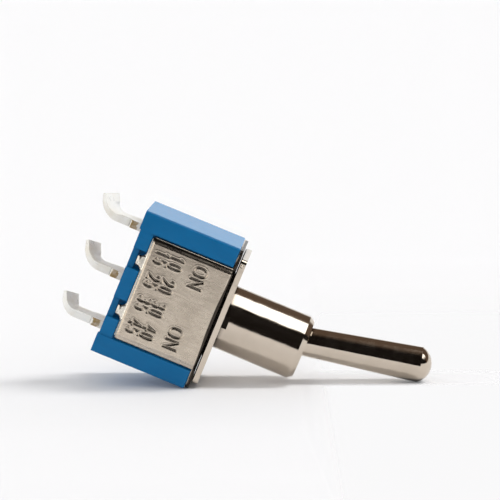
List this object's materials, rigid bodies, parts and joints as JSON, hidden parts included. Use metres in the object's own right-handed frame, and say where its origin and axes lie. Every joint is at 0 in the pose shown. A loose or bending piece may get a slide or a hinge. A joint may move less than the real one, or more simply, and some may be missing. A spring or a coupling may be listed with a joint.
{
  "type": "miniature toggle switch",
  "caption": "Miniature two-position toggle switch with plain round bushing, folded metal frame, moulded case and bent blade terminals.",
  "frame": {"origin": "on the bushing's axis, in the plane of the flange face that seats against a panel", "axes": "+Z along the bushing towards the lever; the lever swings in the X-Z plane and leans towards -X at rest; -Y is the front"},
  "size_m": [0.0136, 0.0079, 0.0331],
  "materials": {
    "case_plastic": "satin",
    "frame_steel": "satin",
    "bushing_nickel": "bright nickel",
    "lever_nickel": "bright nickel",
    "plunger_plastic": "matte",
    "spring_steel": "bright",
    "contact_brass": "silver plated",
    "contact_silver": "bright",
    "terminal_silver": "silver plated",
    "seal_resin": "gloss"
  },
  "bodies": {
    "switch_body": {"case": "case_plastic", "frame": "frame_steel", "bushing": "bushing_nickel", "left_terminal": "terminal_silver", "common_terminal": "terminal_silver", "right_terminal": "terminal_silver", "pivot_cradle": "contact_brass", "left_contact": "contact_silver", "right_contact": "contact_silver", "terminal_seal": "seal_resin"},
    "lever": {"lever": "lever_nickel", "plunger_spring": "spring_steel"},
    "plunger": {"plunger": "plunger_plastic"},
    "rocker": {"rocker_contact": "contact_brass"}
  },
  "joints": [
    {"name": "lever_tilt", "type": "hinge", "parent": "switch_body", "child": "lever", "pos_m": [0, 0, 0.00405], "axis": [0, 1, 0], "range_deg": [0, 22.4]},
    {"name": "plunger_slide", "type": "slide", "parent": "lever", "child": "plunger", "axis": [-0.1942, 0, 0.981], "range_m": [0, 0.00035], "stiffness_N_per_m": 300, "springref_m": -0.001, "deforming": ["plunger_spring"]},
    {"name": "rocker_tilt", "type": "hinge", "parent": "switch_body", "child": "rocker", "pos_m": [0, 0, -0.00694], "axis": [0, 1, 0], "range_deg": [-10.5, 0]}
  ],
  "couplings": [
    {"joint": "rocker_tilt", "follows": "lever_tilt", "ratio": -0.46875}
  ]
}
